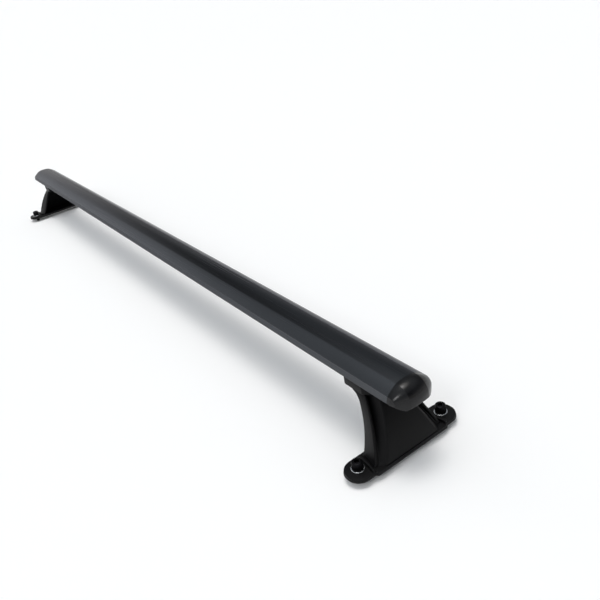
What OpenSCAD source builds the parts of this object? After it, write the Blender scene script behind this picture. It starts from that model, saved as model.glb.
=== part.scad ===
// Roof rack crossbar: one aluminium bar on two bolt-down feet.
// X runs along the bar, +Z is up, and -Y is the front of the vehicle.
// The origin is midway between the feet, in the roof plane under the rubber pads.

/* [Layout] */
// Distance between the bolt lines of the two feet
foot_spacing = 1300; // [900:10:1600]
// Distance between the two roof screws of one foot
bolt_spacing = 130; // [124:1:150]
// Bar beyond the right bolt line, up to its cut end
overhang_right = 18; // [10:1:60]
// Bar beyond the left bolt line, up to its cut end
overhang_left = 36; // [10:1:60]

/* [Bar] */
// Height of the bar section
bar_height = 28; // [26:0.5:34]
// Half width at the crease between the crown and the side
crease_half = 13; // [10:0.5:16]
// Half width at the crease between the side and the lower band
shoulder_half = 26.7; // [25:0.1:28]
// Height of that crease over the bar's underside
shoulder_height = 17; // [15:0.5:19]
// Half width of the bar at its lower edge, where it is widest
edge_half = 29; // [28:0.1:31]
// Height of the lower edge over the bar's underside
edge_height = 9; // [7:0.5:10]
// Half width of the flat underside
keel_half = 17; // [14:0.5:20]
// Radius of the crown
crown_r = 50; // [40:1:80]
// Radius of the slightly bowed side
side_r = 60; // [50:1:120]
// Wall of the extrusion
bar_wall = 2; // [1.5:0.1:2.5]

/* [Slot under the bar] */
// Width of the slot's mouth
mouth_w = 10.5; // [8:0.5:12]
// Inside width of the slot
slot_w = 18; // [16:0.5:22]
// Inside height of the slot
slot_h = 6.5; // [6.5:0.1:8]
// Thickness of the two lips at the mouth
lip_t = 2.2; // [1.5:0.1:2.2]

/* [End caps] */
// Straight collar next to the bar's end
collar_len = 3; // [1:0.5:8]
// Wall of the moulded cap
cap_wall = 2.2; // [1.5:0.1:3]
// Height of the bevel under the tip of the cap's nose
nose_rim = 4.5; // [3:0.1:6]
// Depth of the cap's plug inside the bar
plug_len = 24; // [10:1:40]
// Gap between the plug and the bar's inner faces
plug_gap = 0.3; // [0.1:0.1:0.5]

/* [Feet] */
// Height of the foot casting, from its underside to the bar's saddle
foot_height = 72; // [66:1:90]
// Thickness of the base plate
plate_t = 3.2; // [3:0.1:6]
// Radius of the round lobe at each roof screw
lobe_r = 16; // [13:0.5:18]
// Half length of the straight front edge of the base
base_front_half = 54; // [50:0.5:56]
// Front edge of the base, outboard of the bolt line
base_front = 20.8; // [20.5:0.1:24]
// Radius of the base's two front corners
base_corner = 4; // [1:0.5:6]
// Wall of the casting
tower_wall = 3.5; // [3:0.1:4]
// Front face at the base, outboard of the bolt line
panel_foot = 20.3; // [18:0.1:20.5]
// Radius of the front face as it leans inboard
panel_lean_r = 140; // [130:1:160]
// Half width of the front face at the base
panel_half_foot = 40; // [36:0.5:42]
// Half width of the front face at the saddle
panel_half_top = 13.5; // [10:0.5:14]
// Outboard edge of the side flange at the base
flange_foot = 13.3; // [11:0.1:14]
// Radius of that edge as it leans inboard
flange_lean_r = 130; // [125:1:150]
// Inboard edge of the side flange at the base
rim_foot = -11.8; // [-14:0.1:-10]
// Radius of that edge as it leans inboard
rim_lean_r = 150; // [145:1:170]
// Half width of the foot at the base, at the flange's outboard edge
flange_half_foot = 51; // [49:0.5:52]
// Half width of the foot at the base, at the flange's inboard edge
rim_half_foot = 47; // [46:0.5:49]
// Depth of the groove between flange and front face, at the saddle
groove_depth = 12; // [4:0.5:12]
// Reach of the saddle plate inboard of the bolt line
saddle_inner = 62; // [60:0.5:70]
// Outboard end of the saddle plate, inboard of the bolt line
saddle_outer = 14; // [13:0.5:16]
// Half width of the saddle plate
saddle_half = 25; // [23:0.5:27]
// Thickness of the saddle plate
saddle_t = 5; // [4:0.1:6]

/* [Rubber] */
// Thickness of the rubber pad on the roof
pad_t = 1.5; // [1:0.1:4]
// Margin of the roof pad around the base plate
pad_margin = 0.6; // [0:0.1:1.5]
// Thickness of the rubber strip between foot and bar
strip_t = 1.5; // [1:0.1:2]
// Margin of the strip inside the ends of the saddle plate
strip_margin = 1; // [0.5:0.1:3]

/* [Roof screws] */
// Nominal radius of the roof screws
screw_r = 4; // [3:0.5:4]
// Length under the head
screw_len = 16; // [14:1:30]
// Radius of the plain shank above the roof plane
shank_r = 3.6; // [2.5:0.1:3.6]
// Radius of the head
head_r = 6.5; // [6:0.1:7]
// Height of the head
head_h = 8; // [6:0.5:8]
// Radius of the flat washer
washer_r = 8; // [7.5:0.5:8.5]
// Thickness of the flat washer
washer_t = 1.6; // [1:0.1:2]
// Radius of the spring washer
spring_r = 7; // [6:0.1:7.2]
// Thickness of the spring washer
spring_t = 2; // [1.5:0.1:2.2]
// Radial clearance of the screws in plates, pads and washers
hole_gap = 0.5; // [0.3:0.1:0.8]

/* [Bar clamp] */
// Nominal radius of the clamp screws
clamp_r = 3; // [2.5:0.5:3]
// Length under the head
clamp_len = 16; // [15:0.5:16]
// Radius of the plain shank inside the saddle plate
clamp_shank_r = 2.7; // [2:0.1:2.7]
// Radius of the clamp screw's head
clamp_head_r = 5; // [4.5:0.1:5.5]
// Height of the clamp screw's head
clamp_head_h = 6; // [4:0.5:6]
// Radius of the clamp washer
clamp_washer_r = 6; // [5.5:0.1:6.5]
// Thickness of the clamp washer
clamp_washer_t = 1.6; // [1:0.1:1.8]
// Outboard clamp screw, inboard of the bolt line
clamp_outer_in = 28; // [26:0.5:32]
// Distance between the two clamp screws of one foot
clamp_spacing = 22; // [18:0.5:24]
// Thickness of the slot nut
nut_t = 4; // [3:0.1:4.5]
// Side clearance of the slot nut in the slot
nut_gap = 0.3; // [0.2:0.1:0.6]
// Slot nut beyond each clamp screw
nut_end = 9; // [7:0.5:12]
// Radial clearance that stands for the thread
thread_gap = 0.05; // [0.02:0.01:0.1]

/* [Hidden] */
$fn = 96;
// Overlap of cutting tools past the face that they cut
past = 1;

// Heights, upwards from the roof plane
plate_top = pad_t + plate_t;
saddle_top = pad_t + foot_height;
saddle_under = saddle_top - saddle_t;
bar_under = saddle_top + strip_t;
washer_top = plate_top + washer_t;
head_seat = washer_top + spring_t;
clamp_seat = saddle_under - clamp_washer_t;
nut_under = bar_under + lip_t;

// Lengths along the bar
bolt_line = foot_spacing / 2;
bar_right = bolt_line + overhang_right;
bar_left = bolt_line + overhang_left;
nose_r = bar_height - edge_height;

// Tower of the foot: heights here are over the top of the base plate
tower_h = saddle_under - plate_top;
tower_root = plate_t / 2;
panel_tilt = 12.2;
flange_tilt = 15.5;
rim_tilt = 11;
flange_half_r = 400;
flange_half_tilt = 18.9;
rim_half_r = 300;
rim_half_tilt = 26.5;
// Gusset where the side flange runs out under the saddle plate
gusset_h = 9;
gusset_reach = 7;
gusset_step = 2;
// Saddle plate: its full width ends over the flanges, and it narrows to the front face
saddle_shoulder = 28.5;
saddle_corner = 5;
saddle_nose_half = 15;
// Fillet of the flange on the base plate
fillet_h = 4;
fillet_reach = 2;
// Floor of the groove, and the softened corner of the front face
floor_w = 3;
corner = 1.5;
least_groove = 0.6;
tower_steps = 12;
gusset_steps = 6;
fillet_steps = 3;

// Height ratio up the tower, from 0 on the base plate to 1 under the saddle plate
function up(h) = max(0, h) / tower_h;

// Offset of a face that leans in along an arc that bows outwards
function bowed(start, r, tilt, h) = start - r * cos(tilt) + sqrt(r * r - pow(r * sin(tilt) + h, 2));

// Offset of a face that closes in along an arc that bows inwards
function dished(start, r, tilt, h) = start + r * cos(tilt) - sqrt(r * r - pow(r * sin(tilt) - h, 2));

// Share of the gusset reached at a height, 0 below it and 1 at its top
function gusset(h) =
    let (t = min(1, max(0, (h - (tower_h - gusset_step - gusset_h)) / gusset_h)))
    1 - sqrt(1 - t * t);

// Share of the base fillet left at a height
function fillet(h) = pow(1 - min(1, max(0, h) / fillet_h), 2);

// Half outline of the tower at a height, from the front face round to its inner side
function tower_half(h) =
    let (
        panel = bowed(panel_foot, panel_lean_r, panel_tilt, h),
        panel_half = panel_half_foot + (panel_half_top - panel_half_foot) * up(h),
        edge = bowed(flange_foot, flange_lean_r, flange_tilt, h),
        edge_half = bowed(flange_half_foot, flange_half_r, flange_half_tilt, h)
            + fillet_reach * fillet(h),
        rim = bowed(rim_foot, rim_lean_r, rim_tilt, h) - gusset_reach * gusset(h),
        rim_half = dished(rim_half_foot, rim_half_r, rim_half_tilt, h) + fillet_reach * fillet(h),
        deep = edge - least_groove - groove_depth * up(h),
        slope = (edge_half - rim_half) / (edge - rim),
        deep_half = edge_half - slope * (edge - deep) - tower_wall,
        back = deep - tower_wall,
        back_half = edge_half - slope * (edge - back) - tower_wall
    )
    [
        [panel, panel_half - corner],
        [panel - corner, panel_half + corner / 2],
        [deep, deep_half - floor_w],
        [deep, deep_half],
        [edge, edge_half - tower_wall],
        [edge, edge_half],
        [rim, rim_half],
        [rim, rim_half - tower_wall],
        [back, back_half],
        [back, deep_half - floor_w - corner],
        [panel - tower_wall, panel_half - tower_wall]
    ];

// Whole outline at a height: the half outline and its mirror image, as one loop
function tower_ring(h) =
    let (half = tower_half(h), n = len(half))
    [
        for (p = half) [p[0], p[1], plate_top + h],
        for (i = [n - 1:-1:0]) [half[i][0], -half[i][1], plate_top + h]
    ];

// Heights of the outlines: close together in the fillet and in the gusset
tower_levels = [
    -tower_root,
    for (i = [1:fillet_steps]) fillet_h * i / fillet_steps,
    for (i = [1:tower_steps])
        fillet_h + (tower_h - gusset_step - gusset_h - fillet_h) * i / tower_steps,
    for (i = [1:gusset_steps])
        tower_h - gusset_step - gusset_h + gusset_h * sin(90 * i / gusset_steps),
    tower_h + saddle_t / 2
];

// Centre of the arc of radius r that runs clockwise from point a to point b
function arc_centre(a, b, r) =
    let (
        mid = (a + b) / 2,
        d = b - a,
        half = norm(d) / 2,
        n = [d[1], -d[0]] / norm(d)
    )
    mid + n * sqrt(r * r - half * half);

crown_edge = [crease_half, bar_height - crown_r + sqrt(crown_r * crown_r - crease_half * crease_half)];
shoulder = [shoulder_half, shoulder_height];
lower_edge = [edge_half, edge_height];
keel = [keel_half, 0];
side_centre = arc_centre(crown_edge, shoulder, side_r);
keel_angle = atan2(edge_height, edge_half - keel_half);

// All that lies to the left of the line from a to b, less a strip as wide as inset
module left_of(a, b, inset) {
    far = 4 * edge_half;
    translate(a)
        rotate(atan2(b[1] - a[1], b[0] - a[0]))
            translate([-far, inset]) square([2 * far, 2 * far]);
}

// Bounds of the section on its right side: side arc, lower band and bevel to the underside
module right_bounds(inset) {
    intersection() {
        translate(side_centre) circle(r = side_r - inset);
        left_of(lower_edge, shoulder, inset);
        left_of(keel, lower_edge, inset);
    }
}

// Bar section, drawn over its own underside, with every face moved in by inset
module bar_section(inset = 0) {
    intersection() {
        translate([0, bar_height - crown_r]) circle(r = crown_r - inset);
        right_bounds(inset);
        mirror([1, 0]) right_bounds(inset);
        left_of([0, 0], keel, inset);
    }
}

// Slot housing and centre web that stand inside the bar, grown by margin
module bar_core(margin = 0) {
    half = slot_w / 2 + bar_wall + margin;
    translate([-half, 0]) square([2 * half, lip_t + slot_h + bar_wall + margin]);
    translate([-bar_wall / 2 - margin, 0]) square([bar_wall + 2 * margin, bar_height]);
}

// The slot itself: wide inside, narrow at its mouth
module slot_profile() {
    translate([-slot_w / 2, lip_t]) square([slot_w, slot_h]);
    translate([-mouth_w / 2, -past]) square([mouth_w, lip_t + 2 * past]);
}

// Carries a drawing of the section to the bar's height, extruded along X
module along_bar(from, length) {
    translate([from, 0, bar_under]) rotate([90, 0, 90]) linear_extrude(length) children();
}

module crossbar() {
    color("#1d1e21")
        along_bar(-bar_left, bar_left + bar_right)
            difference() {
                bar_section();
                difference() {
                    bar_section(bar_wall);
                    bar_core();
                }
                slot_profile();
            }
}

// Section above its lower edge, laid out for turning about the line of that edge
module nose_profile(inset) {
    intersection() {
        translate([-edge_height, 0]) rotate(-90) bar_section(inset);
        translate([0, -2 * edge_half]) square(4 * edge_half);
    }
}

// Nose: the section turned down through a right angle, standing on its own outline
module nose(from, inset) {
    translate([from, 0, bar_under + edge_height]) {
        rotate(a = -120, v = [1, 1, 1]) rotate_extrude(angle = 90) nose_profile(inset);
        mirror([0, 0, 1]) linear_extrude(edge_height - inset) nose_profile(inset);
    }
}

// Bevel under the front of the nose, at the slope of the bar's own lower bevel
module nose_bevel(tip, inset) {
    translate([tip, 0, bar_under + nose_rim + inset])
        rotate([0, -keel_angle, 0])
            translate([-4 * nose_r, -2 * edge_half, -8 * nose_r])
                cube([8 * nose_r, 4 * edge_half, 8 * nose_r]);
}

// Section of the collar: whole outside, and inside it a hollow on each side of web and slot housing,
// so that the collar seats on the bar's whole cut face and closes the slot's end
module collar_section(inset) {
    difference() {
        bar_section(inset > 0 ? inset + bar_wall : 0);
        if (inset > 0) bar_core(inset);
    }
}

// Outer form of the cap, or with an inset the hollow inside it
module cap_form(bar_end, inset) {
    start = bar_end - (inset > 0 ? past : 0);
    nose_at = bar_end + collar_len;
    difference() {
        intersection() {
            union() {
                nose(nose_at, inset);
                along_bar(start, nose_at - start) collar_section(inset);
            }
            along_bar(start, nose_at + nose_r - start) bar_section(inset);
        }
        nose_bevel(nose_at + nose_r, inset);
    }
}

// Cap for the right end of a bar that is cut off at bar_end
module end_cap(bar_end) {
    difference() {
        cap_form(bar_end, 0);
        cap_form(bar_end, cap_wall);
    }
    plug_in = bar_wall + plug_gap;
    along_bar(bar_end - plug_len, plug_len + collar_len / 2)
        difference() {
            bar_section(plug_in);
            difference() {
                bar_section(plug_in + cap_wall);
                bar_core(plug_gap + cap_wall);
            }
            bar_core(plug_gap);
        }
}

// Outline of the base plate from above, for the foot on the right
module base_outline(margin = 0) {
    r = base_corner + margin;
    front = base_front + margin;
    half = base_front_half + margin;
    for (s = [-1, 1]) {
        translate([0, s * bolt_spacing / 2]) circle(r = lobe_r + margin);
        translate([front - r, s * (half - r)]) circle(r = r);
    }
    translate([-lobe_r - margin, -bolt_spacing / 2])
        square([2 * (lobe_r + margin), bolt_spacing]);
    translate([0, r - half]) square([front, 2 * (half - r)]);
    translate([0, -half]) square([front - r, 2 * half]);
}

// Outline of the saddle plate from above: rounded inboard, narrowed to the front face outboard
module saddle_outline() {
    inner = -saddle_inner;
    r = saddle_corner;
    for (s = [-1, 1])
        translate([inner + r, s * (saddle_half - r)]) circle(r = r);
    polygon([
        [inner, saddle_half - r], [inner + r, saddle_half],
        [-saddle_shoulder, saddle_half], [-saddle_outer, saddle_nose_half],
        [-saddle_outer, -saddle_nose_half], [-saddle_shoulder, -saddle_half],
        [inner + r, -saddle_half], [inner, -saddle_half + r]
    ]);
}

// Places a piece at each of the two clamp screws of the right foot
module at_clamps() {
    for (u = [-clamp_outer_in, -clamp_outer_in - clamp_spacing])
        translate([u, 0, 0]) children();
}

module tower() {
    rings = [for (h = tower_levels) tower_ring(h)];
    n = len(rings[0]);
    m = len(rings);
    polyhedron(
        points = [for (ring = rings) for (p = ring) p],
        faces = [
            [for (i = [0:n - 1]) i],
            [for (i = [n - 1:-1:0]) (m - 1) * n + i],
            for (k = [0:m - 2]) for (i = [0:n - 1]) [k * n + i, (k + 1) * n + i, k * n + (i + 1) % n],
            for (k = [0:m - 2]) for (i = [0:n - 1])
                [k * n + (i + 1) % n, (k + 1) * n + i, (k + 1) * n + (i + 1) % n]
        ],
        convexity = 8
    );
}

module foot() {
    difference() {
        union() {
            tower();
            translate([0, 0, pad_t]) linear_extrude(plate_t) base_outline();
            translate([0, 0, saddle_under])
                linear_extrude(saddle_t) saddle_outline();
        }
        for (s = [-1, 1])
            translate([0, s * bolt_spacing / 2, pad_t - past])
                cylinder(r = screw_r + hole_gap, h = plate_t + 2 * past);
        at_clamps()
            translate([0, 0, saddle_under - past])
                cylinder(r = clamp_r + hole_gap, h = saddle_t + 2 * past);
    }
}

module roof_pad() {
    linear_extrude(pad_t)
        difference() {
            base_outline(pad_margin);
            for (s = [-1, 1])
                translate([0, s * bolt_spacing / 2]) circle(r = screw_r + hole_gap);
        }
}

module saddle_strip() {
    translate([0, 0, saddle_top])
        linear_extrude(strip_t)
            difference() {
                translate([-saddle_inner + strip_margin, -keel_half])
                    square([saddle_inner - saddle_outer - 2 * strip_margin, 2 * keel_half]);
                at_clamps() circle(r = clamp_r + hole_gap);
            }
}

module slot_nut() {
    half = slot_w / 2 - nut_gap;
    inner = -clamp_outer_in - clamp_spacing - nut_end;
    outer = -clamp_outer_in + nut_end;
    translate([0, 0, nut_under])
        linear_extrude(nut_t)
            difference() {
                translate([inner, -half]) square([outer - inner, 2 * half]);
                at_clamps() circle(r = clamp_r + thread_gap);
            }
}

// Socket head screw, seated at z = 0 with its shank along -Z, plain down to the depth of its grip
module socket_screw(r, length, cap_r, cap_h, plain_r, grip) {
    edge = cap_h / 10;
    tip = r / 5;
    difference() {
        rotate_extrude()
            polygon([
                [0, -length], [r - tip, -length], [r, tip - length], [r, -grip],
                [plain_r, r - plain_r - grip], [plain_r, 0],
                [cap_r, 0], [cap_r, cap_h - edge], [cap_r - edge, cap_h], [0, cap_h]
            ]);
        translate([0, 0, cap_h / 2]) cylinder(r = cap_r / 2, h = cap_h, $fn = 6);
    }
}

module ring(outer, inner, t) {
    linear_extrude(t)
        difference() {
            circle(r = outer);
            circle(r = inner);
        }
}

// Split spring washer; the split faces the end of the bar
module split_ring(outer, inner, t) {
    split_w = 1.2;
    difference() {
        ring(outer, inner, t);
        translate([0, -split_w / 2, -past]) cube([outer + past, split_w, t + 2 * past]);
    }
}

// Puts a piece of the right foot at that foot, or its mirror image at the left one
module on_side(side) {
    if (side == "right") translate([bolt_line, 0, 0]) children();
    else mirror([1, 0, 0]) translate([bolt_line, 0, 0]) children();
}

// Puts a piece at the front or rear roof screw of a foot
module at_roof_screw(side, end, z) {
    s = end == "front" ? -1 : 1;
    on_side(side) translate([0, s * bolt_spacing / 2, z]) children();
}

// Puts a piece at the outer or inner clamp screw of a foot
module at_clamp(side, place, z) {
    u = place == "outer" ? clamp_outer_in : clamp_outer_in + clamp_spacing;
    on_side(side) translate([-u, 0, z]) children();
}

module cap_on(side) {
    color("#232326")
        if (side == "right") end_cap(bar_right);
        else mirror([1, 0, 0]) end_cap(bar_left);
}

module foot_on(side) { color("#19191b") on_side(side) foot(); }
module pad_on(side) { color("#2b2b2b") on_side(side) roof_pad(); }
module strip_on(side) { color("#2e2e2e") on_side(side) saddle_strip(); }
module nut_on(side) { color("#c4c7ca") on_side(side) slot_nut(); }

module roof_screw(side, end) {
    color("#141415")
        at_roof_screw(side, end, head_seat)
            socket_screw(screw_r, screw_len, head_r, head_h, shank_r, head_seat);
}

module spring_washer(side, end) {
    color("#3a3a3c")
        at_roof_screw(side, end, washer_top) split_ring(spring_r, screw_r + hole_gap / 2, spring_t);
}

module flat_washer(side, end) {
    color("#d9dbdd")
        at_roof_screw(side, end, plate_top) ring(washer_r, screw_r + hole_gap / 2, washer_t);
}

module clamp_screw(side, place) {
    color("#c9cbce")
        at_clamp(side, place, clamp_seat)
            mirror([0, 0, 1])
                socket_screw(
                    clamp_r, clamp_len, clamp_head_r, clamp_head_h, clamp_shank_r, clamp_washer_t + saddle_t
                );
}

module clamp_washer(side, place) {
    color("#d9dbdd")
        at_clamp(side, place, clamp_seat) ring(clamp_washer_r, clamp_r + hole_gap / 2, clamp_washer_t);
}

crossbar();
cap_on("left");  // end_cap_left
cap_on("right");  // end_cap_right
foot_on("left");  // foot_left
foot_on("right");  // foot_right
pad_on("left");  // roof_pad_left
pad_on("right");  // roof_pad_right
strip_on("left");  // saddle_strip_left
strip_on("right");  // saddle_strip_right
nut_on("left");  // slot_nut_left
nut_on("right");  // slot_nut_right
clamp_screw("left", "outer");  // clamp_screw_left_outer
clamp_screw("left", "inner");  // clamp_screw_left_inner
clamp_screw("right", "outer");  // clamp_screw_right_outer
clamp_screw("right", "inner");  // clamp_screw_right_inner
clamp_washer("left", "outer");  // clamp_washer_left_outer
clamp_washer("left", "inner");  // clamp_washer_left_inner
clamp_washer("right", "outer");  // clamp_washer_right_outer
clamp_washer("right", "inner");  // clamp_washer_right_inner
roof_screw("left", "front");  // roof_screw_left_front
roof_screw("left", "rear");  // roof_screw_left_rear
roof_screw("right", "front");  // roof_screw_right_front
roof_screw("right", "rear");  // roof_screw_right_rear
spring_washer("left", "front");  // spring_washer_left_front
spring_washer("left", "rear");  // spring_washer_left_rear
spring_washer("right", "front");  // spring_washer_right_front
spring_washer("right", "rear");  // spring_washer_right_rear
flat_washer("left", "front");  // flat_washer_left_front
flat_washer("left", "rear");  // flat_washer_left_rear
flat_washer("right", "front");  // flat_washer_right_front
flat_washer("right", "rear");  // flat_washer_right_rear
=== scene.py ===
"""Dresses the roof rack crossbar: its extruded bar, moulded end caps, cast feet, rubber and hardware.

Blender works in metres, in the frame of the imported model: X runs along the bar, Z is up from the roof, and the
camera stands on the -Y side. The classes hold their sizes in millimetres and build the right-hand end, which is
mirrored for the left one. Each new piece is a closed surface worked out with numpy in the place of one CAD node.
"""
import logging
from dataclasses import dataclass
from enum import Enum
from typing import Any, Callable, Mapping, Sequence

import bmesh
import bpy
import numpy as np
from mathutils import Matrix, Vector
from mathutils.geometry import tessellate_polygon


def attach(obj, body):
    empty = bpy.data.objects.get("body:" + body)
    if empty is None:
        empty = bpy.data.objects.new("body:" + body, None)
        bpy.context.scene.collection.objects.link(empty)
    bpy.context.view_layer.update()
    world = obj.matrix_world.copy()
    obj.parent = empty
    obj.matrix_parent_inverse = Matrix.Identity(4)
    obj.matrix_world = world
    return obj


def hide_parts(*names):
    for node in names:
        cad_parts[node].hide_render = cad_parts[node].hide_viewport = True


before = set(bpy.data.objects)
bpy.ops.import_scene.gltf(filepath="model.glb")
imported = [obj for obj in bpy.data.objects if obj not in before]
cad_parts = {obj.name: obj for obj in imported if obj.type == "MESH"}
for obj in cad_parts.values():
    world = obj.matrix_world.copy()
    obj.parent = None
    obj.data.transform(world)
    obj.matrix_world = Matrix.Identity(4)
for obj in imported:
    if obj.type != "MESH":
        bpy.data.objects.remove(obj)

LOG = logging.getLogger("crossbar")
MM = 0.001
WELD = 1e-7  # points of a mesh that lie closer than this, in metres, are made one
TINY = 1e-9  # keeps a divisor away from zero
OVERHEAD = (-0.12, 0.03, 0.992)  # where the wide lamp over the bar stands, seen from the middle


class Side(Enum):
    """The two ends of the bar, with the sign of their X."""

    LEFT = -1
    RIGHT = 1


class End(Enum):
    """The two roof screws of a foot, with the sign of their Y."""

    FRONT = -1
    REAR = 1


class Place(Enum):
    """The two clamp screws of a foot, counted inboard from the end of the bar."""

    OUTER = 0
    INNER = 1


# Shared dimensions, in millimetres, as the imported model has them


@dataclass(frozen=True)
class Layout:
    """Where the pieces of one end lie, seen from the roof plane and the middle of the bar."""

    bolt_line: float = 650.0
    bolt_spacing: float = 130.0
    bar_right: float = 668.0
    bar_left: float = 686.0
    pad_t: float = 1.5
    plate_t: float = 3.2
    washer_t: float = 1.6
    spring_t: float = 2.0
    saddle_top: float = 73.5
    saddle_t: float = 5.0
    strip_t: float = 1.5
    clamp_outer_in: float = 28.0
    clamp_spacing: float = 22.0

    @property
    def plate_top(self) -> float:
        """Top of the feet's base plates."""
        return self.pad_t + self.plate_t

    @property
    def head_seat(self) -> float:
        """Underside of the roof screws' heads, on both washers."""
        return self.plate_top + self.washer_t + self.spring_t

    @property
    def saddle_under(self) -> float:
        """Underside of the saddle plate."""
        return self.saddle_top - self.saddle_t

    @property
    def bar_under(self) -> float:
        """Underside of the bar, on its rubber strips."""
        return self.saddle_top + self.strip_t

    def bar_end(self, side: Side) -> float:
        """Distance of the bar's cut end from the middle."""
        return self.bar_right if side is Side.RIGHT else self.bar_left

    def clamps(self) -> list[float]:
        """Places of the clamp screws along the right end of the bar, outer first."""
        outer = self.bolt_line - self.clamp_outer_in
        return [outer, outer - self.clamp_spacing]


# Surfaces: arrays of points, and the faces between them


@dataclass
class Shell:
    """A closed surface: its points in millimetres and its faces as lists of point numbers."""

    points: np.ndarray
    faces: list[list[int]]

    def moved(self, x: float = 0.0, y: float = 0.0, z: float = 0.0) -> "Shell":
        """Returns the shell carried by a step along each axis."""
        return Shell(self.points + np.array([x, y, z]), self.faces)

    def mirrored(self, x: int = 1, z: int = 1) -> "Shell":
        """Returns the shell with the signs of its X and Z changed where -1 is given."""
        return Shell(self.points * np.array([x, 1, z]), self.faces)


def swing(a: np.ndarray, b: np.ndarray, share: np.ndarray) -> np.ndarray:
    """Turns vector a towards vector b of the same length by a share of the angle between them.

    Args:
        a: First vectors, in the last axis.
        b: Last vectors, in the last axis.
        share: Shares of the turn from 0 to 1, with a last axis of length 1.

    Returns:
        The turned vectors: each is the sum of a and b, weighed by the sines of the two part angles.
    """
    length = np.linalg.norm(a, axis=-1, keepdims=True) * np.linalg.norm(b, axis=-1, keepdims=True)
    turn = np.arccos(np.clip(np.sum(a * b, axis=-1, keepdims=True) / np.maximum(length, TINY), -1.0, 1.0))
    turn = np.maximum(turn, TINY)
    return (np.sin((1.0 - share) * turn) * a + np.sin(share * turn) * b) / np.sin(turn)


def round_corners(points: np.ndarray, radii: np.ndarray, steps: int = 4) -> np.ndarray:
    """Rounds the corners of closed outlines.

    Each corner is replaced by an arc that touches both its sides. The touching points lie the radius over the
    tangent of the half angle away from the corner, and at most at 0.45 of the shorter side.

    Args:
        points: Outlines of n corners each, shape (..., n, 2).
        radii: The n radii; a corner with radius 0 stays one point.
        steps: Number of segments of an arc.

    Returns:
        The rounded outlines, shape (..., m, 2).
    """
    counts = np.where(radii > 0, steps + 1, 1)
    which = np.repeat(np.arange(len(radii)), counts)
    share = (np.arange(counts.sum()) - np.repeat(np.cumsum(counts) - counts, counts)) / steps
    back = np.roll(points, 1, axis=-2) - points
    ahead = np.roll(points, -1, axis=-2) - points
    back_len = np.linalg.norm(back, axis=-1, keepdims=True)
    ahead_len = np.linalg.norm(ahead, axis=-1, keepdims=True)
    back, ahead = back / back_len, ahead / ahead_len
    half = 0.5 * np.arccos(np.clip(np.sum(back * ahead, axis=-1, keepdims=True), -1.0, 1.0))
    half = np.clip(half, 0.02, 0.4999 * np.pi)  # neither folded flat nor straight
    reach = np.minimum(radii[:, None] / np.tan(half), 0.45 * np.minimum(back_len, ahead_len))
    middle = back + ahead
    middle = middle / np.maximum(np.linalg.norm(middle, axis=-1, keepdims=True), TINY)
    centre = points + middle * reach / np.cos(half)
    first = (points + back * reach - centre)[..., which, :]
    last = (points + ahead * reach - centre)[..., which, :]
    return centre[..., which, :] + swing(first, last, share[:, None])


def arc(centre: np.ndarray, a: np.ndarray, b: np.ndarray, steps: int) -> np.ndarray:
    """Points of an arc about a centre from a to b, both ends included."""
    return centre + swing(a - centre, b - centre, np.linspace(0.0, 1.0, steps + 1)[:, None])


def circle(radius: float, columns: int = 64) -> np.ndarray:
    """Points of a circle about the origin, shape (columns, 2)."""
    angle = np.linspace(0.0, 2.0 * np.pi, columns, endpoint=False)
    return radius * np.stack([np.cos(angle), np.sin(angle)], axis=-1)


def inset_outline(points: np.ndarray, distance: np.ndarray) -> np.ndarray:
    """Moves every side of a closed outline inwards.

    A corner moves along the sum of its two side normals, over one plus their scalar product.

    Args:
        points: The outline, shape (n, 2).
        distance: k distances.

    Returns:
        k outlines, shape (k, n, 2).
    """
    side = np.roll(points, -1, axis=0) - points
    area = np.sum(points[:, 0] * np.roll(points[:, 1], -1) - points[:, 1] * np.roll(points[:, 0], -1))
    out = np.stack([side[:, 1], -side[:, 0]], axis=-1) * np.sign(area)
    out = out / np.linalg.norm(out, axis=-1, keepdims=True)
    before = np.roll(out, 1, axis=0)
    move = (before + out) / (1.0 + np.sum(before * out, axis=-1, keepdims=True))
    return points - np.reshape(distance, (-1, 1, 1)) * move


def ring_faces(rows: int, columns: int, start: int = 0) -> np.ndarray:
    """Quads between neighbouring rings of points that are numbered ring by ring.

    Args:
        rows: Number of rings.
        columns: Points of a ring.
        start: Number of the first point.

    Returns:
        The faces, shape (quads, 4).
    """
    ring = np.arange(rows * columns).reshape(rows, columns) + start
    low, high = ring[:-1], ring[1:]
    return np.stack([low, np.roll(low, -1, 1), np.roll(high, -1, 1), high], axis=-1).reshape(-1, 4)


def pillar(outer: np.ndarray, holes: Sequence[np.ndarray] = ()) -> Shell:
    """Closes a stack of rings into a solid, with holes that run from its first end to its last.

    Args:
        outer: The outer rings, shape (rows, columns, 3). The first and the last one are flat.
        holes: Stacks of rings whose first and last ones lie in the same two planes.

    Returns:
        The closed shell, its ends filled with triangles between the outer ring and the holes.
    """
    stacks = [outer, *holes]
    starts = np.cumsum([0] + [stack.shape[0] * stack.shape[1] for stack in stacks])
    faces: list[list[int]] = []
    for stack, start in zip(stacks, starts):
        faces += ring_faces(stack.shape[0], stack.shape[1], int(start)).tolist()
    for end in (0, -1):
        loops = [[Vector(point) for point in stack[end].tolist()] for stack in stacks]
        numbers = np.concatenate(
            [
                start + (end % stack.shape[0]) * stack.shape[1] + np.arange(stack.shape[1])
                for stack, start in zip(stacks, starts)
            ]
        )
        faces += numbers[np.array(tessellate_polygon(loops))].tolist()
    return Shell(np.concatenate([stack.reshape(-1, 3) for stack in stacks]), faces)


def raised(outlines: np.ndarray, heights: np.ndarray) -> np.ndarray:
    """Gives each of k flat outlines its height, shape (k, n, 3)."""
    level = np.broadcast_to(np.reshape(heights, (-1, 1, 1)), (*outlines.shape[:2], 1))
    return np.concatenate([outlines, level], axis=-1)


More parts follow.
